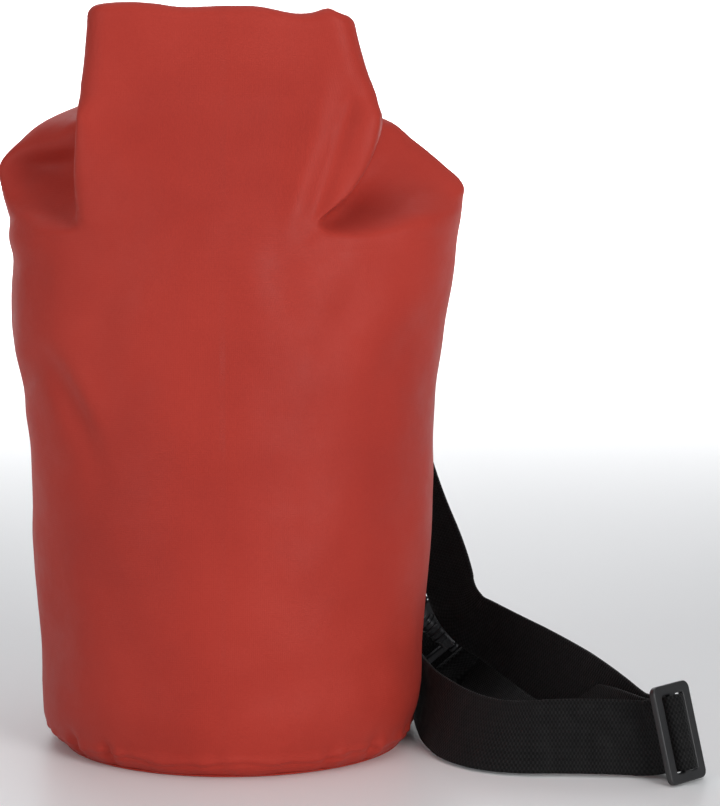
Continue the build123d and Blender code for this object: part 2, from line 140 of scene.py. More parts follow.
# -------- node helpers
class Nodes:
    """Short names for building one material."""

    def __init__(self, name):
        self.material = bpy.data.materials.new(name)
        self.material.use_nodes = True
        self.tree = self.material.node_tree
        self.shader = self.tree.nodes["Principled BSDF"]

    def new(self, kind, **inputs):
        node = self.tree.nodes.new(kind)
        for key, value in inputs.items():
            self.feed(node, key.replace("_", " "), value)
        return node

    def feed(self, node, socket, value):
        if isinstance(value, bpy.types.NodeSocket):
            self.tree.links.new(value, node.inputs[socket])
        else:
            node.inputs[socket].default_value = value

    def math(self, operation, *values):
        node = self.tree.nodes.new("ShaderNodeMath")
        node.operation = operation
        for i, value in enumerate(values):
            self.feed(node, i, value)
        return node.outputs[0]

    def mix(self, one, share, two):
        """A share of one factor and the rest of another."""
        rest = self.math("MULTIPLY", two, 1 - share)
        return self.math("MULTIPLY_ADD", one, share, rest)

    def noise(self, place, scale, detail=3.0, roughness=0.5):
        node = self.new("ShaderNodeTexNoise", Vector=place, Scale=scale, Detail=detail)
        node.inputs["Roughness"].default_value = roughness
        return node.outputs["Fac"]

    def ramp(self, factor, low, high, start=0.0, end=1.0):
        """Map a factor from start..end to low..high."""
        node = self.new("ShaderNodeMapRange", Value=factor)
        for socket, value in (("From Min", start), ("From Max", end), ("To Min", low), ("To Max", high)):
            node.inputs[socket].default_value = value
        return node.outputs["Result"]

    def colours(self, factor, *stops):
        """Colour ramp with (place, colour) stops."""
        node = self.new("ShaderNodeValToRGB", Fac=factor)
        elements = node.color_ramp.elements
        while len(elements) < len(stops):
            elements.new(0.5)
        for element, (place, colour) in zip(elements, stops):
            element.position = place
            element.color = (*colour, 1.0)
        return node.outputs["Color"]

    def bump(self, height, distance, strength, before=None):
        node = self.new("ShaderNodeBump", Height=height, Distance=distance, Strength=strength)
        if before is not None:
            self.feed(node, "Normal", before)
        return node.outputs["Normal"]

    def place(self):
        return self.new("ShaderNodeTexCoord").outputs["Object"]

    def cloth(self):
        """Place on the flat cloth: X across and Y along, in metres."""
        node = self.tree.nodes.new("ShaderNodeUVMap")
        node.uv_map = "cloth"
        split = self.new("ShaderNodeSeparateXYZ", Vector=node.outputs["UV"])
        return node.outputs["UV"], split.outputs["X"], split.outputs["Y"]

    def waves(self, value, pitch):
        """A smooth wave from 0 to 1 every pitch metres."""
        turned = self.math("MULTIPLY", value, 2 * math.pi / pitch)
        return self.math("MULTIPLY_ADD", self.math("SINE", turned), 0.5, 0.5)

    def done(self, **sockets):
        for key, value in sockets.items():
            self.feed(self.shader, key.replace("_", " "), value)
        return self.material


# -------- materials
SCRIM_PITCH = 0.0011        # threads of the fabric under the coat, in metres
WELD_PITCH = 0.0024         # squares that the welding roller leaves
RED = (0.385, 0.030, 0.018)
RED_LIGHT = (0.430, 0.038, 0.024)
RED_DEEP = (0.330, 0.024, 0.015)


def tarpaulin(name, weld=0.0):
    """PVC-coated polyester: the scrim shows faintly through a satin coat that is scuffed in places."""
    n = Nodes(name)
    place = n.place()
    _, across, along = n.cloth()
    clouds = n.noise(place, 9.0, 4.0)
    specks = n.noise(place, 900.0, 2.0)
    mixed = n.mix(specks, 0.18, clouds)
    colour = n.colours(mixed, (0.30, RED_DEEP), (0.50, RED), (0.72, RED_LIGHT))
    scrim = n.math("ADD", n.waves(across, SCRIM_PITCH), n.waves(along, SCRIM_PITCH))
    grain = n.noise(place, 1400.0, 2.0)
    crumple = n.noise(place, 38.0, 5.0, 0.6)
    normal = n.bump(crumple, 0.0011, 0.35)
    normal = n.bump(grain, 0.00005, 0.5, normal)
    normal = n.bump(scrim, 0.00004, 0.45, normal)
    if weld:
        squares = n.math("MULTIPLY", n.waves(across, WELD_PITCH), n.waves(along, WELD_PITCH))
        normal = n.bump(squares, weld, 0.7, normal)
    scuffs = n.noise(place, 60.0, 6.0, 0.7)
    roughness = n.ramp(n.mix(scuffs, 0.6, clouds), 0.50, 0.68, 0.35, 0.65)
    return n.done(Base_Color=colour, Roughness=roughness, Normal=normal,
                  Specular_IOR_Level=0.22, Sheen_Weight=0.02, Sheen_Roughness=0.5)


def webbing(name, rib=0.0019, cord=0.0032):
    """Polyester webbing: cross ribs and lengthwise cords, with painted shade darkening the colour
    between them, and fuzzy fibres.
    """
    n = Nodes(name)
    cloth, across, along = n.cloth()
    # every second cord's ribs are half a rib further on, as in a plain weave
    cords = n.waves(across, cord)
    shift = n.math("MULTIPLY", n.math("GREATER_THAN", cords, 0.5), rib / 2)
    ribs = n.waves(n.math("ADD", along, shift), rib)
    weave = n.mix(ribs, 0.84, cords)
    fibres = n.noise(cloth, 5200.0, 2.0)
    worn = n.noise(cloth, 120.0, 4.0)
    # the colour follows the weave's height, lighter on the rib tops and darker in the hollows between
    # them, which is painted shade; the fibre noise adds random tone
    shaded_weave_tone = n.mix(weave, 0.55, fibres)
    colour = n.colours(shaded_weave_tone, (0.15, (0.0008, 0.0008, 0.0009)), (0.50, (0.0040, 0.0038, 0.0040)),
                       (0.90, (0.0170, 0.0165, 0.0170)))
    normal = n.bump(fibres, 0.00012, 0.5)
    normal = n.bump(weave, 0.00032, 0.9, normal)
    roughness = n.ramp(worn, 0.62, 0.86, 0.3, 0.7)
    return n.done(Base_Color=colour, Roughness=roughness, Normal=normal,
                  Specular_IOR_Level=0.14, Sheen_Weight=0.04, Sheen_Roughness=0.4)


def moulded(name, dark, light, rough=(0.36, 0.52), metallic=0.0, grain=1500.0, worn=None):
    """Moulded plastic or coated metal: fine grain, uneven gloss, brighter where handled."""
    n = Nodes(name)
    place = n.place()
    clouds = n.noise(place, 70.0, 4.0)
    fine = n.noise(place, grain, 2.0)
    scratches = n.noise(place, 420.0, 7.0, 0.75)
    stops = [(0.3, dark), (0.7, light)]
    if worn:
        stops.append((0.86, worn))
    colour = n.colours(n.mix(scratches, 0.5, clouds), *stops)
    normal = n.bump(scratches, 0.00006, 0.3)
    normal = n.bump(fine, 0.00005, 0.45, normal)
    roughness = n.ramp(n.mix(fine, 0.4, clouds), *rough, 0.35, 0.65)
    return n.done(Base_Color=colour, Roughness=roughness, Normal=normal, Metallic=metallic,
                  Specular_IOR_Level=0.5)


def thread(name):
    """Bonded sewing thread with its twist."""
    n = Nodes(name)
    place = n.place()
    fibres = n.noise(place, 2600.0, 3.0)
    colour = n.colours(fibres, (0.3, (0.012, 0.012, 0.013)), (0.7, (0.040, 0.040, 0.042)))
    normal = n.bump(fibres, 0.0001, 0.6)
    roughness = n.ramp(fibres, 0.5, 0.72)
    return n.done(Base_Color=colour, Roughness=roughness, Normal=normal, Sheen_Weight=0.15)


def pale_floor():
    n = Nodes("studio_floor")
    haze = n.noise(n.place(), 2.0, 2.0)
    colour = n.colours(haze, (0.0, (0.85, 0.855, 0.86)), (1.0, (0.87, 0.87, 0.875)))
    return n.done(Base_Color=colour, Roughness=n.ramp(haze, 0.30, 0.36), Specular_IOR_Level=0.35)


TARPAULIN = tarpaulin("tarpaulin_red")
WELD_TAPE = tarpaulin("weld_tape_red", weld=0.00012)
WEBBING = webbing("webbing_black")
TAB_WEBBING = webbing("tab_webbing_black", rib=0.0009, cord=0.0018)
PLASTIC = moulded("buckle_plastic_black", (0.009, 0.009, 0.010), (0.018, 0.018, 0.019))
CLIP_METAL = moulded("clip_metal_black", (0.016, 0.016, 0.018), (0.034, 0.034, 0.037),
                     rough=(0.26, 0.42), metallic=0.55, grain=2200.0, worn=(0.11, 0.11, 0.115))
THREAD = thread("thread_black")


# -------- filled tube: its levels
# height, half width (X), half depth (Y): as the CAD tube, with a rounder lower edge
TUBE_LEVELS = [
    (1.2, 89, 88.6), (5, 92.6, 92), (14, 95.8, 94.8), (55, 98, 97), (95, 101.7, 97),
    (138, 104.3, 96), (181, 106.8, 94), (217, 112, 90), (255, 116, 86),
    (268, 117.4, 83.2),
]
ROLL_TOP = 386.0

# Places round the bag, from the middle of the front towards either side and on to the middle
# of the back. Each has its angle on the filled tube, and how far along the flattened mouth it
# is (out along the front layer, then back along the rear layer).
ANGLES = [0, 15, 29, 39.5, 46, 56, 72, 90, 108, 132, 156, 180]
RIGHT_ANGLES_TOP = [0, 9, 17, 22, 28, 40, 64, 90, 108, 132, 156, 180]
MOUTH_HALF = 156.5          # half of the flattened mouth's width
MOUTH_PLACES = [0, 30, 58, 69, 78, 97, 127, 156.5, 166, 203, 246, 313]
COUNTS = [10, 8, 6, 6, 8, 12, 14, 10, 18, 20, 16]

# Shoulder levels: height, then y at the middles of the front and the back, then (x, y) at the
# places between them: fold edge, tuck and ear, and on to the back. The right side comes first.
SHOULDER = {
    276: (-81.3, 80,
        [(19, -80.3), (35, -77.9), (44, -75.6), (53, -71.6), (69, -62.5), (99, -45.5), (118.6, -2),
         (113, 26), (89, 54), (48, 74)],
        [(-31, -78.6), (-56, -71.7), (-74.5, -63.4), (-82, -57.5), (-91, -49), (-104, -33),
         (-115.4, -2), (-109, 26), (-89, 54), (-48, 74)]),
    281: (-80, 77.5,
        [(20, -79), (38, -76.6), (47, -74.4), (51, -65.5), (65, -52), (97, -43), (119.2, -2),
         (113, 26), (88, 52), (48, 72)],
        [(-31, -77.4), (-57, -70.9), (-76, -61.6), (-79, -51), (-88, -40), (-103, -28),
         (-116.2, -2), (-110, 26), (-88, 52), (-48, 72)]),
    286: (-78.5, 74.5,
        [(21, -77.7), (42, -75.2), (53, -72.4), (55, -60), (63.5, -37), (94, -33), (119.5, -2),
         (112.5, 26), (88, 51), (49, 70)],
        [(-31, -76), (-57, -70.3), (-76.2, -60.6), (-77.4, -47), (-85, -27), (-101, -16),
         (-117, -1), (-110.5, 26), (-88, 51), (-49, 70)]),
    292: (-76.6, 70,
        [(23, -75.8), (47, -73.2), (60, -70), (61.5, -57), (65.5, -25), (90, -19), (120, -1),
         (110, 26), (87, 49), (50, 67)],
        [(-31, -74.4), (-57.5, -69.1), (-76.6, -60), (-77, -46), (-83, -16), (-99.5, -7),
         (-118, 0), (-111, 26), (-87, 49), (-50, 67)]),
    303: (-72.2, 57,
        [(26, -71.5), (53, -69), (67.5, -66), (69, -54), (69, -17), (86, -8), (108.5, 4),
         (99, 26), (82, 43), (51, 56)],
        [(-31, -70.6), (-58, -66.8), (-76.8, -59.2), (-76.8, -46), (-80, -10), (-95.5, -1),
         (-119.8, 2), (-107, 26), (-84, 43), (-51, 56)]),
    315: (-66.6, 36,
        [(28, -66.2), (58, -64.4), (72.5, -61.8), (74, -52), (71.5, -16), (80, -4), (93, 8),
         (87, 27), (73, 37), (50, 42)],
        [(-31, -65.8), (-59, -63.4), (-76.2, -58.6), (-76.2, -46), (-76, -17), (-91, -10),
         (-111, 6), (-100, 27), (-77, 37), (-50, 42)]),
    325: (-61.9, 6,
        [(29, -61.6), (60, -60.8), (75, -58.8), (76.5, -50.5), (73.5, -20), (73.5, -6), (81, 12),
         (75, 28), (62, 30), (48, 22)],
        [(-31, -61.5), (-60, -60.6), (-75.6, -58.2), (-75.8, -48), (-74, -20), (-83, -8), (-99, 12),
         (-88, 29), (-65, 30), (-48, 22)]),
    333: (-59, -34,
        [(29, -58.8), (60, -58.4), (76, -57.2), (77.2, -49.5), (73, -26), (65, 0), (61, 28),
         (52, 33), (54, 5), (58, -28)],
        [(-31, -58.8), (-60, -58.5), (-75, -57.4), (-75.4, -49), (-73, -25), (-72, -2), (-79, 21),
         (-64, 31), (-55, 5), (-58, -28)]),
}
MOUTH_START = 343.0


def tube_sizes(height):
    return read_table(TUBE_LEVELS, np.atleast_1d(height))


def ring_places(values):
    """Spread the values at the places round one half of the bag over that half's vertices."""
    steps = [np.arange(count) / count for count in COUNTS]
    spread = [values[i] + (values[i + 1] - values[i]) * step for i, step in enumerate(steps)]
    return np.concatenate(spread)


HALF = sum(COUNTS)
RING = 2 * HALF


def tube_ring(height, right_angles):
    """One ring of the filled tube, going right from the front's middle and round the back."""
    half_x, half_y = tube_sizes(height)[0]
    right = ring_places(np.array(right_angles, float))
    forward = ring_places(np.array(ANGLES, float))
    left = 360 - np.concatenate([[180.0], forward[:0:-1]])
    angles = np.radians(np.concatenate([right, left]))
    points = np.zeros((RING, 3))
    points[:, 0] = half_x * np.sin(angles)
    points[:, 1] = -half_y * np.cos(angles)
    points[:, 2] = height
    return points


def shoulder_ring(height):
    """One ring through the listed places of a shoulder level."""
    front, back, right, left = SHOULDER[height]
    corners = np.array([(0, front), *right, (0, back), *left[::-1]], float)
    wrapped = np.concatenate([corners[-3:], corners, corners[:4]])
    knots = distances(wrapped)
    wanted = []
    for i, parts in enumerate(COUNTS + COUNTS[::-1]):
        start, end = knots[i + 3], knots[i + 4]
        wanted.append(start + (end - start) * np.arange(parts) / parts)
    ring = smooth_through(knots, wrapped, np.concatenate(wanted))
    return np.column_stack([ring, np.full(RING, height)])


# -------- mouth: path and roll
MOUTH_CORNERS = [(-46, 34), (-70, -52), (66, -52), (46, 34)]
MOUTH_BEND = 6.5
LAYER_HALF = 0.75           # half of the two layers' thickness
FOLD_ROUND = 0.8            # how near the side fold the two layers come together
TURNS = [4.85, -4.85, 2.6, -2.6, 0.5]     # runs of the winding from outside in, off its middle plane
ROLL_HIGH = 380.2
ROLL_LOW = 343.6
LAST_RUN = 0.55             # how much of the last run is wound


def rounded_path(corners, radius):
    """Points and outward normals along a path of straight runs and tangent arcs."""
    corners = np.array(corners, float)
    points = [corners[0]]
    for before, corner, after in zip(corners, corners[1:], corners[2:]):
        one = unit(before - corner)
        two = unit(after - corner)
        half_angle = math.acos(float(one @ two)) / 2
        reach = radius / math.tan(half_angle)
        centre = corner + unit(one + two) * radius / math.sin(half_angle)
        start = corner + one * reach - centre
        end = corner + two * reach - centre
        turn = math.atan2(start[0] * end[1] - start[1] * end[0], start @ end)
        for share in np.linspace(0, 1, 13):
            c, s = math.cos(turn * share), math.sin(turn * share)
            turned = [start[0] * c - start[1] * s, start[0] * s + start[1] * c]
            points.append(centre + np.array(turned))
    points.append(corners[-1])
    points = np.array(points)
    along = unit(np.gradient(points, distances(points), axis=0))
    return points, np.column_stack([along[:, 1], -along[:, 0]])


PATH, PATH_OUT = rounded_path(MOUTH_CORNERS, MOUTH_BEND)
PATH_LENGTH = distances(PATH)


def on_path(along, values):
    """Values given at the path's points, read at lengths along it."""
    return np.column_stack([np.interp(along, PATH_LENGTH, values[:, k]) for k in range(2)])


def path_middle():
    """Length along the path at which it crosses X = 0."""
    low = np.argmax(PATH[:, 0] * (PATH[:, 1] < -50) > 0)
    x0, x1 = PATH[low - 1, 0], PATH[low, 0]
    return PATH_LENGTH[low - 1] + (PATH_LENGTH[low] - PATH_LENGTH[low - 1]) * (0 - x0) / (x1 - x0)


MIDDLE = path_middle()
RIGHT_LENGTH = PATH_LENGTH[-1] - MIDDLE
LEFT_LENGTH = MIDDLE


def mouth_ring(offset, height, lean):
    """One ring of the flattened mouth; lean is the outward direction in (normal, up)."""
    half = ring_places(np.array(MOUTH_PLACES, float))
    forward = np.concatenate([half, [2 * MOUTH_HALF]])
    places = np.concatenate([forward[:-1], forward[:0:-1]])
    folded = np.minimum(places, 2 * MOUTH_HALF - places)
    layer = np.clip((MOUTH_HALF - places) / FOLD_ROUND, -1, 1) * LAYER_HALF
    sign = np.concatenate([np.ones(HALF), -np.ones(HALF)])
    reach = np.where(sign > 0, RIGHT_LENGTH, LEFT_LENGTH) / MOUTH_HALF
    along = MIDDLE + sign * folded * reach
    base = on_path(along, PATH)
    out = unit(on_path(along, PATH_OUT))
    level = offset + layer * lean[0]
    points = np.zeros((RING, 3))
    points[:, :2] = base + out * level[:, None]
    points[:, 2] = height + layer * lean[1]
    share = (points[:, 2] - MOUTH_START) / (ROLL_TOP - MOUTH_START)
    points[:, 2] += top_wave(along - MIDDLE) * soft_step(share, 0.0, 1.0)
    points[:, :2] += out * (sway(along - MIDDLE) * soft_step(share, 0.0, 0.5))[:, None]
    points[:, 0] += flare(along - MIDDLE, points[:, 2])
    return points


# height, and the shift along X of the neck's right and left front corners there
NECK_FLARE = [(330, 6.0, 0.4), (338, 6.0, -0.3), (343, 5.3, -0.7), (348, 3.4, -0.4), (353, 1.5, 0.1),
              (360, -0.5, 0.6), (370, -3.2, 1.4), (380, -5.2, 2.2), (392, -5.8, 2.6)]


def flare(along, height):
    """Sideways lean of the neck near its two front corners."""
    lean = read_table(NECK_FLARE, np.clip(height, NECK_FLARE[0][0], NECK_FLARE[-1][0]))
    right = soft_step(along, 28, 66) * (1 - soft_step(along, 70, 150))
    left = soft_step(-along, 28, 68) * (1 - soft_step(-along, 74, 150))
    return lean[:, 0] * right + lean[:, 1] * left


# how much higher or lower than level the roll's top edge is, along the mouth from its middle
TOP_EDGE = [(-165, -4.0), (-112, -4.2), (-86, -1.5), (-68, 2.4), (-36, 2.8), (-26, 1.4), (0, 1.7),
            (14, 1.6), (38, -2.2), (46, -1.6), (56, 0.4), (64, -2.4), (76, -3.6), (112, -3.2),
            (165, -3.8)]


def top_wave(along):
    return read_table(TOP_EDGE, along)[:, 0]


def sway(along):
    """Gentle waviness of the roll in plan."""
    return 0.8 * np.sin(along / 21.0 + 1.1) + 0.4 * np.sin(along / 9.0)


def roll_track():
    """The winding of the two layers in section: (offset, height, outward direction)."""
    track = [(TURNS[0], z, (1.0, 0.0)) for z in np.linspace(MOUTH_START, ROLL_HIGH, 9)]
    for i, (n0, n1) in enumerate(zip(TURNS, TURNS[1:])):
        up = i % 2 == 0
        centre = (n0 + n1) / 2
        radius = abs(n0 - n1) / 2
        height = ROLL_HIGH if up else ROLL_LOW
        side = 1.0 if n0 > n1 else -1.0
        for angle in np.linspace(0, math.pi, 11)[1:]:
            c, s = math.cos(angle) * side, math.sin(angle) * (1 if up else -1)
            track.append((centre + radius * c, height + radius * s, (c, s)))
        last = i == len(TURNS) - 2
        end = ROLL_LOW if up else ROLL_HIGH
        stop = height + (end - height) * (LAST_RUN if last else 1.0)
        for z in np.linspace(height, stop, 8)[1:-1]:
            track.append((n1, z, (-side, 0.0)))
    return track


# -------- shell of the bag
SEAM_ANGLE = 44.0           # from +X towards +Y, as in the CAD
TUBE_RADIUS = 101           # the tube's mean radius, for lengths round it
TUBE_ROUND = 634            # and its circumference
# creases of the filled tube: angle from the front (degrees), height, direction (radians), length,
# width, depth
CREASES = [
    (-52, 188, -0.9, 60, 8, 2.9), (-70, 200, 0.4, 70, 9, 2.5), (-38, 240, 1.35, 70, 13, 1.3),
    (20, 246, 1.75, 75, 12, 1.4), (38, 232, 1.15, 65, 12, 1.6), (62, 215, 0.5, 60, 13, 1.6),
    (-8, 190, 1.45, 110, 17, 0.9), (48, 120, 0.9, 90, 18, 1), (-30, 70, 1.9, 80, 16, 1),
    (15, 45, 0.3, 70, 11, 0.8), (-66, 60, 0.7, 60, 13, 1.2), (70, 40, 2.4, 55, 11, 1),
    (-108, 150, 1.2, 90, 15, 1.8), (-140, 215, 0.5, 80, 14, 2.4), (175, 228, 0.1, 110, 13, 2.6),
    (-165, 110, 1.4, 100, 18, 1.4), (158, 160, 2, 80, 15, 1.8), (-125, 60, 2.2, 60, 13, 1.5),
    (178, 50, 0.4, 80, 14, 1.2), (110, 236, 2.3, 50, 11, 1.5),
]


# where the tube's lower edge is pinched at the base weld: angles from the front, in degrees
PINCH_RADIUS = 95
BASE_PINCHES = [-58, -41, 33, 52, 96, 131, 172, -104, -141]


def crease_depth(arc, height):
    """Soft folds pressed into the filled tube, with a low ridge beside each of them."""
    depth = np.zeros_like(arc)
    for angle, middle, direction, length, width, deep in CREASES:
        du = arc - math.radians(angle) * TUBE_RADIUS
        du = (du + TUBE_ROUND / 2) % TUBE_ROUND - TUBE_ROUND / 2
        dv = height - middle
        along = du * math.cos(direction) + dv * math.sin(direction)
        across = dv * math.cos(direction) - du * math.sin(direction)
        across = across + 0.0035 * along ** 2
        fade = np.exp(-(along / (length * 0.45)) ** 2)
        depth -= deep * fade * np.exp(-(across / width) ** 2)
        depth += 0.55 * deep * fade * np.exp(-((across - 1.6 * width) / width) ** 2)
    return depth


# folds of the flattened front: two ends (x, height), width and depth; a ridge has a negative depth
PANEL_FOLDS = [((66, 350), (44, 283), 4.6, 3.4), ((52, 356), (33, 284), 5, -1.9),
               ((30, 356), (16, 284), 11, 0.8), ((-40, 348), (-52, 285), 12, 0.9),
               ((8, 330), (0, 262), 15, 0.8)]


def panel_folds(points):
    """Soft folds that run down the flattened front from the roll."""
    depth = np.zeros(len(points))
    for start, end, width, deep in PANEL_FOLDS:
        a = np.array(start, float)
        way = np.array(end, float) - a
        size = np.linalg.norm(way)
        beside = points[:, [0, 2]] - a
        share = beside @ way / size ** 2
        across = np.abs(beside[:, 0] * way[1] - beside[:, 1] * way[0]) / size
        fade = soft_step(share, -0.25, 0.3) * (1 - soft_step(share, 0.75, 1.3))
        depth -= deep * fade * np.exp(-(across / width) ** 2)
    depth *= 1 - soft_step(points[:, 2], 340, 372)
    return depth * (1 - soft_step(points[:, 1], -46, -36))


def undulation(points, size, seed):
    """Smooth noise over points in millimetres, about -1 to 1."""
    return np.array([noise.noise(Vector(p / size) + Vector((seed, 0, 0))) for p in points]) * 2


def turn_from(angle, other):
    """Signed turn from one angle to others, between minus and plus half a turn."""
    return (angle - other + math.pi) % (2 * math.pi) - math.pi


# where the left side stands out or is pressed in: middle height, reach up and down, how far out,
# and the heights between which it starts
LEFT_BULGES = [(258, 20, -4.0, 0, 1), (205, 36, 2.3, 0, 1), (45, 34, 2.0, 4, 25), (13, 9, 3.0, 0, 8)]


def left_bulges(angle, z):
    """The left outline's own swellings, as the front view shows them."""
    offset = np.zeros_like(z)
    beside = np.exp(-((angle + math.pi / 2) / 0.5) ** 2)
    for middle, reach, out, start, full in LEFT_BULGES:
        offset += out * beside * np.exp(-((z - middle) / reach) ** 2) * soft_step(z, start, full)
    return offset


def base_weld(angle, z):
    """Gathers, the groove of the base's weld and pinches at the tube's lower edge."""
    gathers = np.sin(angle * 23 + 2.6 * np.sin(angle * 5)) * 0.5 + np.sin(angle * 47 + 1.0) * 0.22
    offset = gathers * np.exp(-((z - 8) / 6.0) ** 2) * soft_step(z, 0.9, 5)
    weld = 6.5 + 0.9 * np.sin(angle * 9 + 1.0) + 0.5 * np.sin(angle * 21)
    offset -= 0.55 * np.exp(-((z - weld) / 0.9) ** 2)
    offset += 0.4 * np.exp(-((z - weld - 2.4) / 1.4) ** 2)
    for pinch in BASE_PINCHES:
        beside = turn_from(angle, math.radians(pinch)) * PINCH_RADIUS
        offset -= 2.2 * np.exp(-(beside / 3.2) ** 2 - ((z - 8) / 5.5) ** 2)
        offset += 1.0 * np.exp(-((beside - 6.5) / 4.0) ** 2 - ((z - 9) / 6.0) ** 2)
    return offset


def shape_cloth(rings, normals):
    """Sag, creases and the base's weld on the filled tube, moved along its outward normals."""
    flat = rings.reshape(-1, 3)
    angle = np.arctan2(flat[:, 0], -flat[:, 1])
    z = flat[:, 2]
    away = np.abs(turn_from(angle, math.radians(90 + SEAM_ANGLE))) * TUBE_RADIUS
    free = soft_step(away, 30, 62)
    body = (1 - soft_step(z, 262, 284)) * soft_step(z, 14, 40)
    neck = 1 - soft_step(z, 325, 341)
    offset = crease_depth(angle * TUBE_RADIUS, z) * free * body
    offset += 2.0 * soft_step(z, 12, 34) * (1 - soft_step(z, 105, 165)) * free
    offset += left_bulges(angle, z)
    offset += undulation(flat, 62, 3.0) * 1.3 * free * soft_step(z, 14, 40) * neck
    offset += undulation(flat, 21, 9.0) * 0.35 * free * neck
    offset += base_weld(angle, z)
    return (flat + normals.reshape(-1, 3) * offset[:, None]).reshape(rings.shape)


def outward(rings):
    """Normals of a grid of closed rings."""
    round_way = np.roll(rings, -1, axis=1) - np.roll(rings, 1, axis=1)
    up_way = np.gradient(rings, axis=0)
    return unit(np.cross(round_way, up_way) + 1e-12)


LOW_STATIONS = [1.2, 5, 14, 55, 95, 138, 181]
# height, and how far the ring's places have moved to where the right fold needs them
HIGH_STATIONS = [(217, 0.3), (242, 0.72), (255, 0.92), (268, 1.0)]


def shell_rings():
    """All rings of the bag, from the base's edge to the inside of the roll."""
    mouth_heights = (MOUTH_START, MOUTH_START + 8)
    stations = [tube_ring(height, ANGLES) for height in LOW_STATIONS]
    for height, share in HIGH_STATIONS:
        angles = np.array(ANGLES) * (1 - share) + np.array(RIGHT_ANGLES_TOP) * share
        stations.append(tube_ring(height, angles))
    stations += [shoulder_ring(height) for height in SHOULDER]
    stations += [mouth_ring(TURNS[0], height, (1.0, 0.0)) for height in mouth_heights]
    heights = np.array([*LOW_STATIONS, *(h for h, _ in HIGH_STATIONS), *SHOULDER, *mouth_heights])
    fine = np.concatenate([
        np.linspace(1.2, 20, 22), np.arange(24, 252, 4.0), np.arange(252, MOUTH_START, 1.5)])
    stacked = np.array(stations).reshape(len(stations), -1)
    filled = smooth_through(heights, stacked, fine).reshape(len(fine), RING, 3)
    filled = shape_cloth(filled, outward(filled))
    mouth = np.array([mouth_ring(offset, z, lean) for offset, z, lean in roll_track()])
    rings = np.concatenate([filled, mouth])
    rings[..., 1] -= panel_folds(rings.reshape(-1, 3)).reshape(rings.shape[:2])
    return rings


def cloth_places(rings):
    """Place of every vertex on the flat cloth, in metres: along the rim and up the tube."""
    middle_row = rings[len(rings) // 4]
    around = distances(np.vstack([middle_row, middle_row[:1]]))[:-1]
    up = np.linalg.norm(np.diff(rings, axis=0), axis=2).mean(axis=1)
    up = np.concatenate([[0.0], np.cumsum(up)])
    grid = np.stack(np.meshgrid(around, up), axis=-1)
    return grid.reshape(-1, 2) * MM


def close_underside(points, uv, faces, first):
    """Close the tube's lower edge in smaller and smaller rings, down to its middle."""
    inner_start = len(points)
    for share in (0.97, 0.7, 0.35):
        points += list(first * [share, share, 1])
        uv += [(p[0] * MM, p[1] * MM) for p in first * share]
    for row, start in enumerate([0, inner_start, inner_start + RING]):
        after = inner_start + row * RING
        for c in range(RING):
            d = (c + 1) % RING
            faces.append((start + d, start + c, after + c, after + d))
    centre = len(points)
    points.append(np.array([0, 0, first[0, 2]]))
    uv.append((0, 0))
    last = inner_start + 2 * RING
    faces += [(last + (c + 1) % RING, last + c, centre) for c in range(RING)]


def close_roll(faces, top):
    """Close the roll's inner edge between its two layers; top is the last ring's first vertex."""
    quarter = RING // 4
    for c in range(quarter - 1):
        other = RING - c
        faces.append((top + c, top + c + 1, top + HALF - c - 1, top + HALF - c))
        faces.append((top + other % RING, top + HALF + c, top + HALF + c + 1, top + other - 1))
    for tip in (quarter, 3 * quarter):
        faces.append((top + tip - 1, top + tip, top + tip + 1))


def build_shell():
    rings = shell_rings()
    points = list(rings.reshape(-1, 3))
    uv = list(cloth_places(rings))
    faces = grid_faces(len(rings), RING, closed=True)
    close_underside(points, uv, faces, rings[0])
    close_roll(faces, (len(rings) - 1) * RING)
    bag = make_mesh("bag_shell", points, faces, TARPAULIN, uv)
    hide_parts("body_tube", "rolled_closure", "base_flange", "mouth_stiffener")
    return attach(bag, "bag")


# -------- thin sheets and webbing
def thick_sheet(name, middle, normals, thickness, material, uv):
    """A closed sheet round a grid of middle points; thickness may vary over the grid."""
    rows, columns = middle.shape[:2]
    half = normals * (np.asarray(thickness) * np.ones((rows, columns)))[..., None] / 2
    points = np.concatenate([(middle + half).reshape(-1, 3), (middle - half).reshape(-1, 3)])
    count = rows * columns
    faces = grid_faces(rows, columns, closed=False)
    faces += [tuple(count + i for i in reversed(face)) for face in faces]
    rim = list(range(columns))
    rim += [r * columns + columns - 1 for r in range(1, rows)]
    rim += [(rows - 1) * columns + c for c in range(columns - 2, -1, -1)]
    rim += [r * columns for r in range(rows - 2, 0, -1)]
    faces += [(b, a, count + a, count + b) for a, b in zip(rim, rim[1:] + rim[:1])]
    return make_mesh(name, points, faces, material, np.concatenate([uv, uv]))


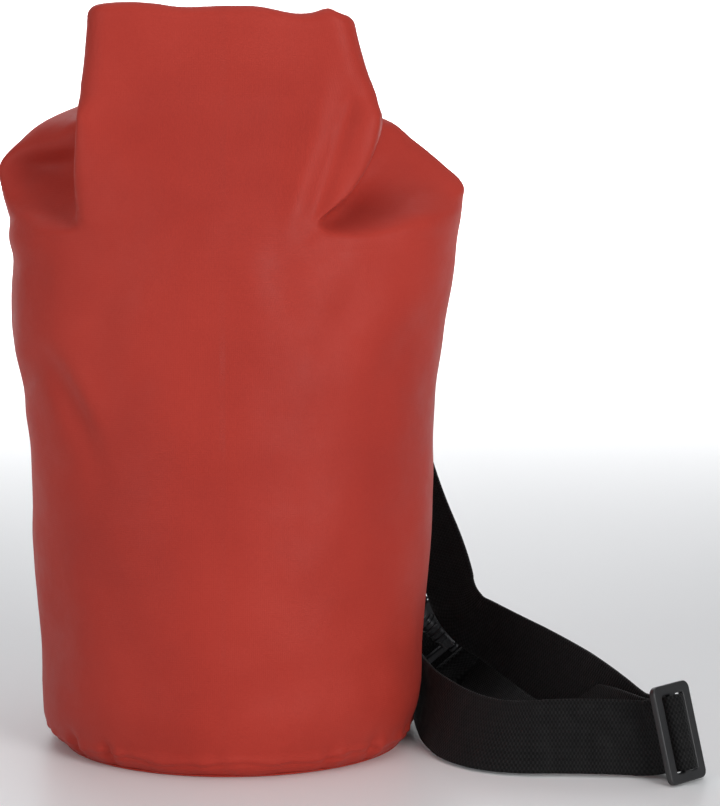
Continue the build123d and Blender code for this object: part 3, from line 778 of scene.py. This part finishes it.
class Ribbon:
    """Webbing that follows a route, with its width direction given along the route."""

    def __init__(self, route, widths, width, thickness, step=1.2, columns=11):
        route = np.array(route, float)
        widths = np.array(widths, float)
        knots = distances(route)
        count = max(8, int(knots[-1] / step))
        wanted = np.linspace(0, knots[-1], count)
        self.centre = smooth_through(knots, route, wanted)
        self.length = distances(self.centre)
        self.along = unit(np.gradient(self.centre, self.length, axis=0))
        across = smooth_through(knots, widths, wanted)
        across = across - self.along * (across * self.along).sum(axis=1, keepdims=True)
        self.across = unit(across)
        self.normal = np.cross(self.along, self.across)
        self.width = width
        self.thickness = thickness
        self.shares = np.sin(np.linspace(-math.pi / 2, math.pi / 2, columns)) / 2

    def place(self, along, across, lift=0.0):
        """A point on the webbing: length from its start, and distance from its middle line."""
        found = [np.interp(along, self.length, part[:, k])
                 for part in (self.centre, self.across, self.normal) for k in range(3)]
        centre, width, normal = np.array(found).reshape(3, 3)
        return centre + width * across + normal * lift

    def build(self, name, material):
        offsets = self.shares * self.width
        middle = self.centre[:, None, :] + self.across[:, None, :] * offsets[None, :, None]
        normals = np.repeat(self.normal[:, None, :], len(offsets), axis=1)
        edge = np.clip(0.5 - np.abs(self.shares), 0, 0.02) / 0.02
        thickness = self.thickness * (0.45 + 0.55 * np.sqrt(edge))
        uv = np.stack(np.meshgrid(offsets + 40, self.length), axis=-1).reshape(-1, 2) * MM
        return thick_sheet(name, middle, normals, thickness[None, :], material, uv)


STITCH_LENGTH = 2.5
STITCH_PITCH = 3.3
STITCH_RADIUS = 0.33
STITCH_LIFT = 0.08
ROD_SIDES = 6
ROD_RINGS = [(0.0, 0.45), (0.2, 1.0), (0.8, 1.0), (1.0, 0.45)]   # share of length, share of radius


def stitches(name, ribbon, lines, side=1):
    """Rows of stitches on one face of a ribbon; each line runs between two (along, across) places."""
    lift = side * (ribbon.thickness / 2 + STITCH_LIFT)
    points = []
    faces = []
    for (s0, a0), (s1, a1) in lines:
        run = math.hypot(s1 - s0, a1 - a0)
        for i in range(max(1, int(run / STITCH_PITCH))):
            ends = []
            for reach in (i * STITCH_PITCH, i * STITCH_PITCH + STITCH_LENGTH):
                share = reach / run
                place = (s0 + (s1 - s0) * share, a0 + (a1 - a0) * share)
                ends.append(ribbon.place(*place, lift))
            capsule(points, faces, *ends, STITCH_RADIUS)
    return make_mesh(name, points, faces, THREAD)


def capsule(points, faces, start, end, radius):
    """A short round-ended rod, added to the lists."""
    axis = unit(end - start)
    side = unit(np.cross(axis, [0.3, 0.5, 0.81]))
    other = np.cross(axis, side)
    first = len(points)
    for share, size in ROD_RINGS:
        centre = start + (end - start) * share
        for k in range(ROD_SIDES):
            angle = k * 2 * math.pi / ROD_SIDES
            points.append(centre + (side * math.cos(angle) + other * math.sin(angle)) * radius * size)
    last = first + (len(ROD_RINGS) - 1) * ROD_SIDES
    for row in range(first, last, ROD_SIDES):
        for k in range(ROD_SIDES):
            a, b = row + k, row + (k + 1) % ROD_SIDES
            faces.append((a, b, b + ROD_SIDES, a + ROD_SIDES))
    faces.append(tuple(first + k for k in reversed(range(ROD_SIDES))))
    faces.append(tuple(last + k for k in range(ROD_SIDES)))


def box_stitch(start, end, half):
    """A sewn box with its two diagonals."""
    a, b, c, d = (start, -half), (start, half), (end, half), (end, -half)
    return [(a, b), (b, c), (c, d), (d, a), (a, c), (b, d)]


# -------- base panel
BASE_INSET = 3.2            # how far inside the CAD panel's edge the visible one stays
# from the underside's middle to the top's: distance in from the rim, height
BASE_PROFILE = [(8, 0), (6.5, 0.3), (5, 0), (1.4, 0.05), (0.3, 0.35), (0, 0.7), (0.5, 1.1), (3, 1.15)]
BASE_CORNERS = 128


def build_base():
    """The round base under the tube, with its rounded rim and the groove of its weld."""
    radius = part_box("base_panel")[1].x / MM - BASE_INSET
    profile = [(60, 0.2)] + [(radius - inset, z) for inset, z in BASE_PROFILE]
    around = np.arange(BASE_CORNERS) * 2 * math.pi / BASE_CORNERS
    points = [(r * math.cos(t), r * math.sin(t), z) for r, z in profile for t in around]
    faces = grid_faces(len(profile), BASE_CORNERS, closed=True)
    for height, start in ((0.25, 0), (profile[-1][1], len(points) - BASE_CORNERS)):
        centre = len(points)
        points.append((0, 0, height))
        faces += [(start + c, start + (c + 1) % BASE_CORNERS, centre) for c in range(BASE_CORNERS)]
    points = np.array(points)
    panel = make_mesh("base_disc", points, faces, TARPAULIN, points[:, :2] * MM)
    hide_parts("base_panel")
    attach(panel, "bag")


# -------- side seam and patches
SEAM_COS = math.cos(math.radians(SEAM_ANGLE))
SEAM_SIN = math.sin(math.radians(SEAM_ANGLE))
TAPE_THICK = 0.8
PATCH_THICK = 0.9


def skin(height, across):
    """Points of the tube's skin beside the seam and the way out of them."""
    sizes = tube_sizes(height)
    half_x, half_y = sizes[:, 0], sizes[:, 1]
    foot = np.arctan2(SEAM_SIN / half_y, SEAM_COS / half_x)
    speed = np.hypot(half_x * np.sin(foot), half_y * np.cos(foot))
    angle = foot + across / speed
    points = np.column_stack([half_x * np.cos(angle), half_y * np.sin(angle), height])
    out = unit(np.column_stack([np.cos(angle) / half_x, np.sin(angle) / half_y, np.zeros_like(angle)]))
    return points, out


def shell_tree(bag):
    """The bag's surface in millimetres, for finding the points under a patch."""
    places = [tuple(vertex.co / MM) for vertex in bag.data.vertices]
    return BVHTree.FromPolygons(places, [tuple(face.vertices) for face in bag.data.polygons])


def on_shell(points, out):
    """The shell's points met on the way in from outside, and its normals there."""
    places = []
    normals = []
    for point, way in zip(points, out):
        place, normal, _, _ = SHELL.ray_cast(Vector(point + way * 40), Vector(-way))
        places.append(place)
        normals.append(normal if normal.dot(Vector(way)) > 0 else -normal)
    return np.array(places), np.array(normals)


Layer = namedtuple("Layer", "width corner lift thick material slot")
SEAM_TAPE = Layer(22, 1.5, -0.1, TAPE_THICK, WELD_TAPE, "weld_tape")
RING_PATCH = Layer(56, 8, TAPE_THICK - 0.12, PATCH_THICK, TARPAULIN, "tarpaulin")
LAYER_COLUMNS = 19


def build_layer(name, node, layer):
    """A welded layer on the shell beside the seam, with rounded corners and thinned edges."""
    low, high = (corner.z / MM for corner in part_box(node))
    rows = int((high - low) / 2) + 2
    spacing = np.linspace(-1, 1, rows)
    if high - low < 80:
        spacing = np.sin(spacing * math.pi / 2)
    heights = (low + high) / 2 + spacing * (high - low) / 2
    to_end = np.minimum(heights - low, high - heights)
    near_end = np.clip(layer.corner - to_end, 0, layer.corner)
    half = layer.width / 2 - layer.corner + np.sqrt(np.maximum(layer.corner ** 2 - near_end ** 2, 0))
    across = half[:, None] * np.sin(np.linspace(-math.pi / 2, math.pi / 2, LAYER_COLUMNS))
    levels = np.repeat(heights, LAYER_COLUMNS)
    points, out = on_shell(*skin(levels, across.ravel()))
    rim = np.minimum(layer.width / 2 - np.abs(across), to_end[:, None])
    thickness = layer.thick * (0.35 + 0.65 * np.sqrt(np.clip(rim / 1.2, 0, 1)))
    shape = (rows, LAYER_COLUMNS, 3)
    middle = (points + out * layer.lift).reshape(shape) + out.reshape(shape) * (thickness / 2)[..., None]
    uv = np.column_stack([across.ravel(), levels]) * MM
    piece = thick_sheet(name, middle, out.reshape(shape), thickness, layer.material, uv)
    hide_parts(node)
    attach(piece, "bag")


def build_seam():
    build_layer("seam_tape", "side_seam", SEAM_TAPE)
    for level in ("upper", "lower"):
        build_layer(level + "_ring_patch", level + "_patch", RING_PATCH)


# -------- D-ring tabs
JOINTS = {joint["name"]: joint for joint in frame["joints"]}
TAB_WIDTH = 26.0
TAB_THICK = 1.15
FREE_OF_SHELL = 7           # above this distance from the bar the tab lies on the patch
# round the ring's bar: distance outwards and upwards from it
TAB_ROUTE = [(-3.0, 26.5), (-3.0, 18), (-3.0, 9), (-2.95, 1.5), (-2.5, -1.5), (-1.0, -2.75),
             (1.0, -2.75), (2.5, -1.5), (2.9, 0.6), (2.3, 3.4), (0.6, 6.4), (-0.9, 9.0),
             (-1.6, 12), (-1.7, 18), (-1.7, 26.5)]


def build_ring_tab(level):
    swing = JOINTS[level + "_ring_swing"]
    bar = np.array(swing["pos_m"]) / MM
    side = unit(swing["axis"])
    foot = [skin(np.array([bar[2] + rise]), np.zeros(1))[0][0] for rise in (0.0, 27.0)]
    climb = foot[1] - foot[0]
    climb = unit(climb - side * (climb @ side))
    out = np.cross(climb, side)
    if out @ np.array([SEAM_COS, SEAM_SIN, 0]) < 0:
        out = -out
    route = []
    for o, c in TAB_ROUTE:
        above, way = skin(np.array([bar[2] + c]), np.zeros(1))
        sunk = np.linalg.norm(above - on_shell(above, way)[0]) if c > FREE_OF_SHELL else 0.0
        route.append(bar + out * (o - sunk) + climb * c)
    ribbon = Ribbon(route, [side] * len(route), TAB_WIDTH, TAB_THICK, step=0.8)
    piece = ribbon.build(level + "_tab_webbing", TAB_WEBBING)
    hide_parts(level + "_ring_tab")
    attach(piece, "bag")
    end = ribbon.length[-1]
    face = 1 if ribbon.normal[-1] @ out > 0 else -1
    threads = stitches(level + "_tab_stitches", ribbon, box_stitch(end - 2, end - 14, 10.5), face)
    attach(threads, "bag")


# -------- buckle tabs
BUCKLE_BAR = 29.6
BUCKLE_TAB_WIDTH = 25.0
BUCKLE_WRAP = 3.3           # from the bar's middle to the middle of the webbing round it
BUCKLE_SEAMS = (10.5, 21)   # the two rows of stitches, from either end of the webbing


def build_buckle_tab(side, name, node):
    """Webbing out of the roll's end, round the buckle's bar and back, sewn to itself."""
    low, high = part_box("buckle_female")
    buckle_y = (low.y + high.y) / 2 / MM
    buckle_z = (low.z + high.z) / 2 / MM
    tip = PATH[0] if side < 0 else PATH[-1]
    arm = unit(tip - (PATH[1] if side < 0 else PATH[-2]))
    line = np.array([tip - arm * 9, tip - arm * 2, tip + arm * 5, tip + arm * 10.5, (side * 39.5, 49.0),
                     (side * 35.5, buckle_y - 0.1)])
    way = unit(np.gradient(line, axis=0))
    beside = np.column_stack([-way[:, 1], way[:, 0]]) * side * 0.66
    bar = np.array([side * BUCKLE_BAR, buckle_y])
    turn = np.radians([138, 110, 80, 50, 20, -10, -40, -70, -100, -138])
    loop = bar + BUCKLE_WRAP * np.column_stack([-side * np.cos(turn), -np.sin(turn)])
    route = np.concatenate([line + beside, loop, (line - beside)[::-1]])
    route = np.column_stack([route, np.full(len(route), buckle_z)])
    up = np.array([0.0, 0.0, 1.0])
    ribbon = Ribbon(route, [up] * len(route), BUCKLE_TAB_WIDTH, 1.2, step=0.8)
    piece = ribbon.build(name, TAB_WEBBING)
    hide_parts(node)
    threads = []
    for number, rows in enumerate(([ribbon.length[-1] - s for s in BUCKLE_SEAMS], BUCKLE_SEAMS)):
        lines = [((row, -10), (row, 10)) for row in rows]
        threads.append(stitches(f"{name}_stitches_{number}", ribbon, lines))
    return piece, threads


def build_buckle_tabs():
    left, threads = build_buckle_tab(-1, "left_buckle_webbing", "left_buckle_tab")
    for piece in (left, *threads):
        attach(piece, "bag")
    right, threads = build_buckle_tab(1, "right_buckle_webbing", "right_buckle_tab")
    for piece in (right, *threads):
        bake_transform(piece)


# -------- shoulder strap
STRAP_WIDTH = 38.0
STRAP_THICK = 1.6
FLOOR_GAP = 1.2
GLIDE_CENTRE = np.array([227.0, -94.5, 24.7])
GLIDE_U = unit([0.67, 0.74, 0.0])
GLIDE_N = unit([0.713, -0.645, 0.269])
GLIDE_V = np.cross(GLIDE_N, GLIDE_U)
EYE_WIDTHS = {"upper": (0.76, -0.65, 0.0), "lower": (0.66, -0.33, 0.67)}
STRAP_BAR_DROP = 16.0

EYE_WRAP = [(-3.1, -1.5), (-3.2, 0.9), (-2.2, 2.7), (0, 3.15), (2.2, 2.7), (3.2, 0.9), (3.1, -1.5)]
SEWN_LEG = [(-0.95, -34), (-0.95, -10), (-1.7, -6)]
GLIDE_OVER = [(5.4, -8), (5.2, -2), (5.3, 0.5), (4.7, 3.0), (2.4, 5.0)]
GLIDE_SEWN = [(0.95, -16), (1.0, -8), (3.2, -2), (3.4, 0), (3.1, 2.0), (1.6, 3.2)]


class Eye:
    """The swivel eye at one end of the strap, from its swivel joint."""

    def __init__(self, level):
        swivel = JOINTS[level + "_hook_swivel"]
        self.nose = unit(swivel["axis"])
        self.bar = np.array(swivel["pos_m"]) / MM - self.nose * STRAP_BAR_DROP
        width = np.array(EYE_WIDTHS[level])
        self.width = unit(width - self.nose * (width @ self.nose))
        self.out = np.cross(self.nose, self.width)

    def at(self, y, z):
        return self.bar + self.out * y + self.nose * z, self.width


def on_glide(u, n):
    return GLIDE_CENTRE + GLIDE_U * u + GLIDE_N * n


def at(x, y, z, width):
    return np.array([x, y, z], float), unit(width)


def stand(x, y, width):
    """A place where the webbing's lower edge runs along the floor."""
    across = unit(width)
    return np.array([x, y, floor_height(across)]), across


def floor_height(across):
    return abs(across[2]) * STRAP_WIDTH / 2 + STRAP_THICK / 2 + FLOOR_GAP


def soften(run, rounds=2):
    """Cut the corners of a free run so that it bends smoothly, and keep it off the floor."""
    for _ in range(rounds):
        cut = [run[0]]
        for (p, a), (q, b) in zip(run, run[1:]):
            cut.append((p * 0.75 + q * 0.25, a * 0.75 + b * 0.25))
            cut.append((p * 0.25 + q * 0.75, a * 0.25 + b * 0.75))
        run = cut + [run[-1]]
    lifted = []
    for point, across in run:
        lowest = floor_height(unit(across))
        lifted.append((np.array([point[0], point[1], max(point[2], lowest)]), across))
    return lifted


# the free runs, place by place: x, y, (height,) and the way across the webbing
FALL_HANGS = [
    (88.5, 80, 152, (0.69, -0.72, 0.08)), (98, 78, 118, (0.68, -0.69, 0.24)),
    (112.5, 69, 82, (0.71, -0.64, 0.30)), (120, 57, 56, (0.58, -0.70, 0.42)),
    (144, 36, 44.5, (0.46, -0.64, 0.62)), (172, 0, 34.5, (0.55, -0.46, 0.70)),
    (195, -38, 28.5, (0.34, -0.54, 0.77)),
]
FRONT_STANDS = [
    (176, -82, (0.0, 0.30, 0.95)), (140, -77, (0.04, 0.55, 0.83)), (117, -55, (0.25, 0.45, 0.86)),
    (104, -22, (0.20, 0.10, 0.97)), (99.5, 12, (0.12, 0.0, 0.99)), (97.0, 42, (0.05, 0.0, 1.0)),
    (91, 70, (0.0, 0.0, 1.0)), (88, 96, (0.0, 0.0, 1.0)), (100, 114, (0.0, 0.0, 1.0)),
]
FRONT_RISE = [(122, 114, 21.5, (0.15, -0.10, 0.98)), (135, 99, 22.5, (0.45, -0.25, 0.85))]
BACK_STANDS = [
    (140, 58, (0.66, 0.05, 0.70)), (150, 32, (0.62, 0.40, 0.62)), (166, 0, (0.45, 0.62, 0.60)),
    (190, -45, (0.08, 0.42, 0.86)),
]


def across_glide(places):
    """The webbing's places over one side of the adjuster, and the same mirrored on the other side."""
    return [(on_glide(u, n), GLIDE_V) for u, n in places + [(-u, n) for u, n in reversed(places)]]


def strap_route():
    """Places along the webbing: upper eye, fall, adjuster, front run, lower eye, rear run, adjuster."""
    upper = Eye("upper")
    lower = Eye("lower")
    start = [upper.at(y, z) for y, z in SEWN_LEG + EYE_WRAP]
    start += [upper.at(-y, z) for y, z in reversed(SEWN_LEG[1:])]
    glide = across_glide(GLIDE_OVER)
    sewn = across_glide(GLIDE_SEWN)
    entry = (on_glide(7.5, -22), unit(GLIDE_V + np.array([0.1, -0.2, 0])))
    fall = [start[-1], *(at(*place) for place in FALL_HANGS), entry, glide[0]]
    front = [glide[-1], (on_glide(-6.2, -18), GLIDE_V)]
    front += [stand(*place) for place in FRONT_STANDS]
    front += [at(*place) for place in FRONT_RISE]
    front.append(lower.at(4.4, -8))
    around = [lower.at(-y, z) for y, z in EYE_WRAP]
    back = [lower.at(-3.4, -8), *(stand(*place) for place in BACK_STANDS)]
    back += [(on_glide(0.9, -24), GLIDE_V), sewn[0]]
    runs = [start[:-1], soften(fall)[:-1], glide[:-1], soften(front), around, soften(back)[:-1], sewn]
    return [station for run in runs for station in run]


def build_strap():
    stations = strap_route()
    ribbon = Ribbon([p for p, _ in stations], [a for _, a in stations], STRAP_WIDTH, STRAP_THICK,
                    columns=13)
    strap = ribbon.build("strap_webbing", WEBBING)
    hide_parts("shoulder_strap")
    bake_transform(strap)
    total = ribbon.length[-1]
    rows = {
        "strap_end_stitches": box_stitch(3, 22, 15),
        "strap_fall_stitches": box_stitch(63, 83, 15),
        "strap_glide_stitches": [((total - s, -15), (total - s, 15)) for s in (7.5, 12, 16)],
    }
    for name, lines in rows.items():
        piece = stitches(name, ribbon, lines)
        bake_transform(piece)


# -------- hardware from the CAD
def finish_hardware():
    """Materials of the moulded and cast parts, which stay as the CAD made them."""
    plastics = ["buckle_female", "buckle_male", "buckle_upper_prong", "buckle_lower_prong", "tri_glide"]
    clips = ("d_ring", "hook", "gate", "gate_pin", "swivel_pin", "swivel_eye")
    metals = [f"{level}_{part}" for level in ("upper", "lower") for part in clips]
    for names, material in ((plastics, PLASTIC), (metals, CLIP_METAL)):
        for name in names:
            for place in frame["nodes"][name].material_slots:
                place.material = material


# -------- camera, floor and light
def build_stage():
    half = 30.0
    mesh = bpy.data.meshes.new("studio_floor")
    corners = [(-half, -half, 0), (half, -half, 0), (half, half, 0), (-half, half, 0)]
    mesh.from_pydata(corners, [], [(0, 1, 2, 3)])
    mesh.materials.append(pale_floor())
    floor = bpy.data.objects.new("studio_floor", mesh)
    bpy.context.scene.collection.objects.link(floor)


def area_light(name, place, target, size, power, colour=(1, 1, 1), spread=180):
    light = bpy.data.lights.new(name, "AREA")
    light.shape = "RECTANGLE"
    light.size, light.size_y = size
    light.energy = power
    light.color = colour
    light.spread = math.radians(spread)
    lamp = bpy.data.objects.new(name, light)
    bpy.context.scene.collection.objects.link(lamp)
    lamp.location = place
    lamp.rotation_euler = (Vector(target) - Vector(place)).to_track_quat("-Z", "Y").to_euler()


def build_lights():
    centre = (0.03, 0.0, 0.18)
    area_light("key_softbox", (1.35, -1.9, 0.85), centre, (0.9, 0.9), 30)
    area_light("fill_softbox", (-1.6, -1.6, 0.8), centre, (1.2, 1.2), 14, (0.96, 0.98, 1.0))
    area_light("top_softbox", (0.0, -0.1, 2.1), centre, (1.6, 1.6), 10)
    area_light("rear_softbox", (-0.3, 2.1, 1.5), centre, (1.6, 1.2), 15, (0.97, 0.98, 1.0))
    area_light("near_wash", (0, 4.1, 3.0), (0, 4.1, 0), (8, 4.4), 560, spread=70)
    area_light("far_wash", (0, 12.5, 4.0), (0, 12.5, 0), (15, 10), 1900, spread=100)
    world = bpy.data.worlds.new("studio_world")
    world.use_nodes = True
    background = world.node_tree.nodes["Background"]
    background.inputs["Color"].default_value = (0.93, 0.95, 0.98, 1)
    background.inputs["Strength"].default_value = 0.30
    bpy.context.scene.world = world
    bpy.context.scene.view_settings.view_transform = "Standard"


def build_camera():
    data = bpy.data.cameras.new("camera")
    data.lens = 163.9
    data.sensor_width = 36
    data.clip_end = 200
    camera = bpy.data.objects.new("camera", data)
    bpy.context.scene.collection.objects.link(camera)
    camera.location = (0.067, -1.900, 0.450)
    camera.rotation_euler = (math.radians(90 - 8.12), 0, 0)
    bpy.context.scene.camera = camera


build_camera()
build_stage()
build_lights()
SHELL = shell_tree(build_shell())
build_base()
build_seam()
for ring_level in ("upper", "lower"):
    build_ring_tab(ring_level)
build_buckle_tabs()
build_strap()
finish_hardware()
